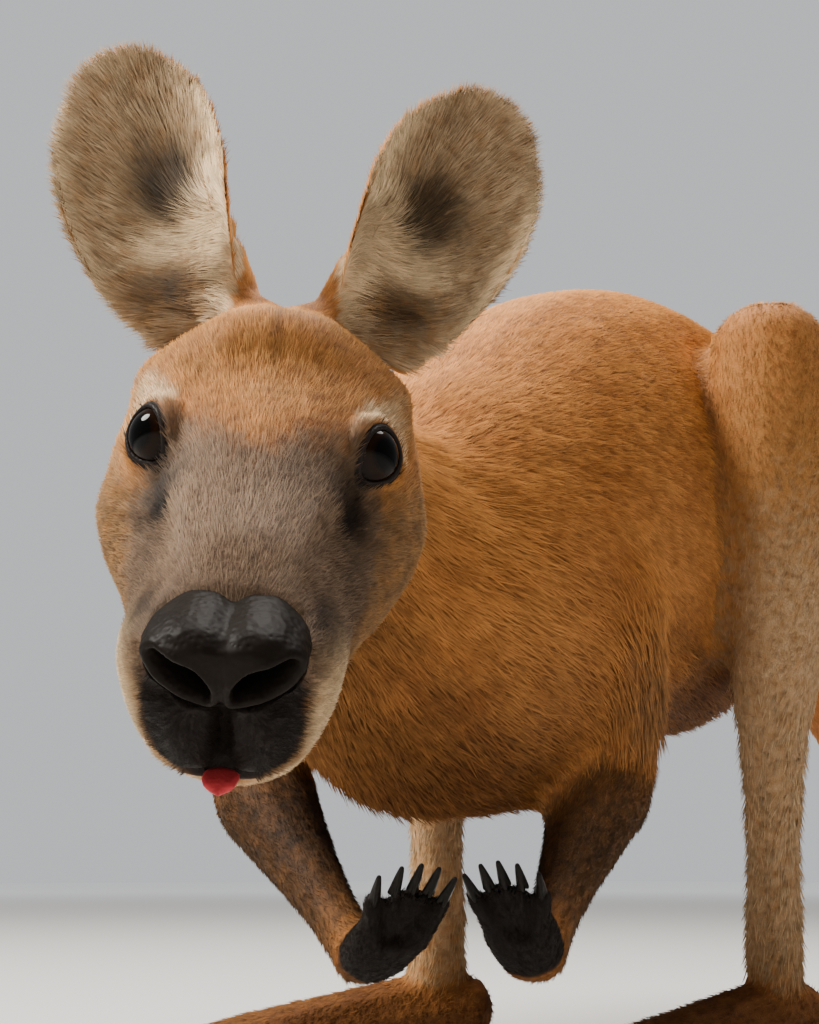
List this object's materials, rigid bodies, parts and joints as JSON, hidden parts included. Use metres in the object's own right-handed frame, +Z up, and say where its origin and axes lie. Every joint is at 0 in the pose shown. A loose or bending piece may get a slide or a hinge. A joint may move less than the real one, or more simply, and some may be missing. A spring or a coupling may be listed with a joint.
{
  "type": "kangaroo",
  "caption": "Life-size still kangaroo leaning down to sniff forward, standing on its hind feet and tail with its forepaws held off the ground.",
  "frame": {"origin": "centre of the bounding box's footprint, on the ground that the feet and tail stand on", "axes": "+Z up, -Y the way the feet point, +X the animal's left; the tail runs back along +Y"},
  "size_m": [0.4982, 1.5822, 0.6093],
  "materials": {
    "coat_rust": "short soft rust-orange fur in small clumps",
    "coat_face": "short flat grey-brown fur, orange on the forehead",
    "coat_ear": "fine grey-brown hair, pale at the rim",
    "coat_limb": "short flat fawn-grey fur",
    "coat_paw": "short black fur",
    "nose_skin": "bare black skin, slightly wet",
    "tongue": "wet pink skin",
    "eye": "wet black-brown eye",
    "claw": "dark horn"
  },
  "bodies": {
    "root": {"head": "coat_face", "jaw": "coat_face", "nose": "nose_skin", "tongue": "tongue", "neck": "coat_rust", "chest": "coat_rust", "loins": "coat_rust", "rump": "coat_rust", "tail_base": "coat_rust", "tail_middle": "coat_rust", "tail_tip": "coat_rust", "eye_left": "eye", "ear_left": "coat_ear", "thigh_left": "coat_rust", "shank_left": "coat_limb", "foot_left": "coat_rust", "toe_claw_fourth_left": "claw", "toe_claw_fifth_left": "claw", "toe_claw_third_left": "claw", "toe_claw_second_left": "claw", "upper_arm_left": "coat_rust", "forearm_left": "coat_limb", "hand_left": "coat_paw", "finger_claw_first_left": "claw", "finger_claw_second_left": "claw", "finger_claw_third_left": "claw", "finger_claw_fourth_left": "claw", "finger_claw_fifth_left": "claw", "eye_right": "eye", "ear_right": "coat_ear", "thigh_right": "coat_rust", "shank_right": "coat_limb", "foot_right": "coat_rust", "toe_claw_fourth_right": "claw", "toe_claw_fifth_right": "claw", "toe_claw_third_right": "claw", "toe_claw_second_right": "claw", "upper_arm_right": "coat_rust", "forearm_right": "coat_limb", "hand_right": "coat_paw", "finger_claw_first_right": "claw", "finger_claw_second_right": "claw", "finger_claw_third_right": "claw", "finger_claw_fourth_right": "claw", "finger_claw_fifth_right": "claw"}
  },
  "joints": []
}
